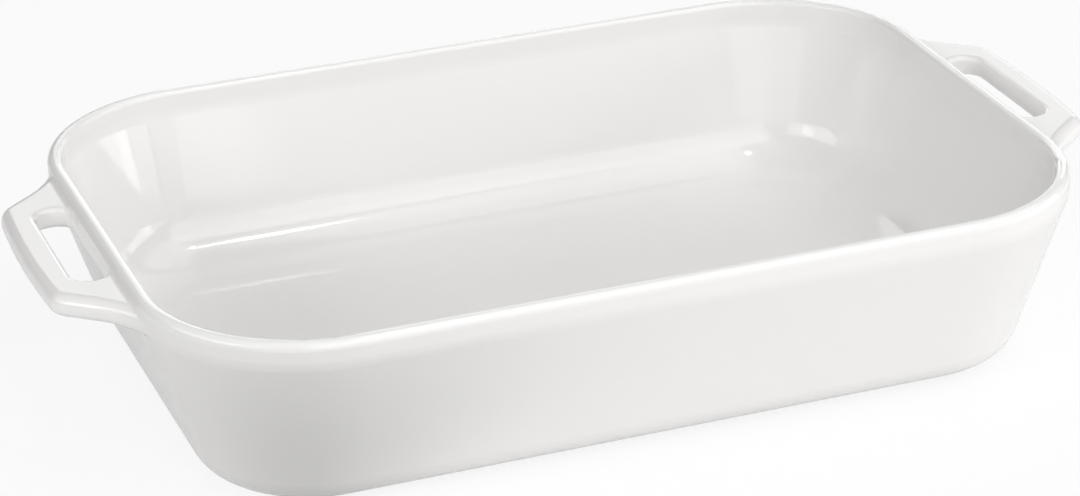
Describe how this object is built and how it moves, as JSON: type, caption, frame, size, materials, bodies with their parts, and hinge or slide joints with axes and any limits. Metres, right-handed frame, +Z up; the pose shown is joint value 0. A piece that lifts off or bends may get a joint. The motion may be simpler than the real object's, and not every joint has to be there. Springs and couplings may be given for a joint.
{
  "type": "lasagna dish",
  "caption": "Deep oblong stoneware baking dish with flared walls, round corners and a pierced grip at each end.",
  "frame": {"origin": "on the resting plane, under the middle of the dish", "axes": "+X along the length, from one handle to the other; +Y across the width; +Z up out of the open top"},
  "size_m": [0.402, 0.24, 0.0735],
  "materials": {
    "white_glaze": "gloss",
    "bare_foot": "matte"
  },
  "bodies": {
    "root": {"dish_body": "white_glaze", "left_handle": "white_glaze", "right_handle": "white_glaze", "foot_ring": "bare_foot"}
  },
  "joints": []
}
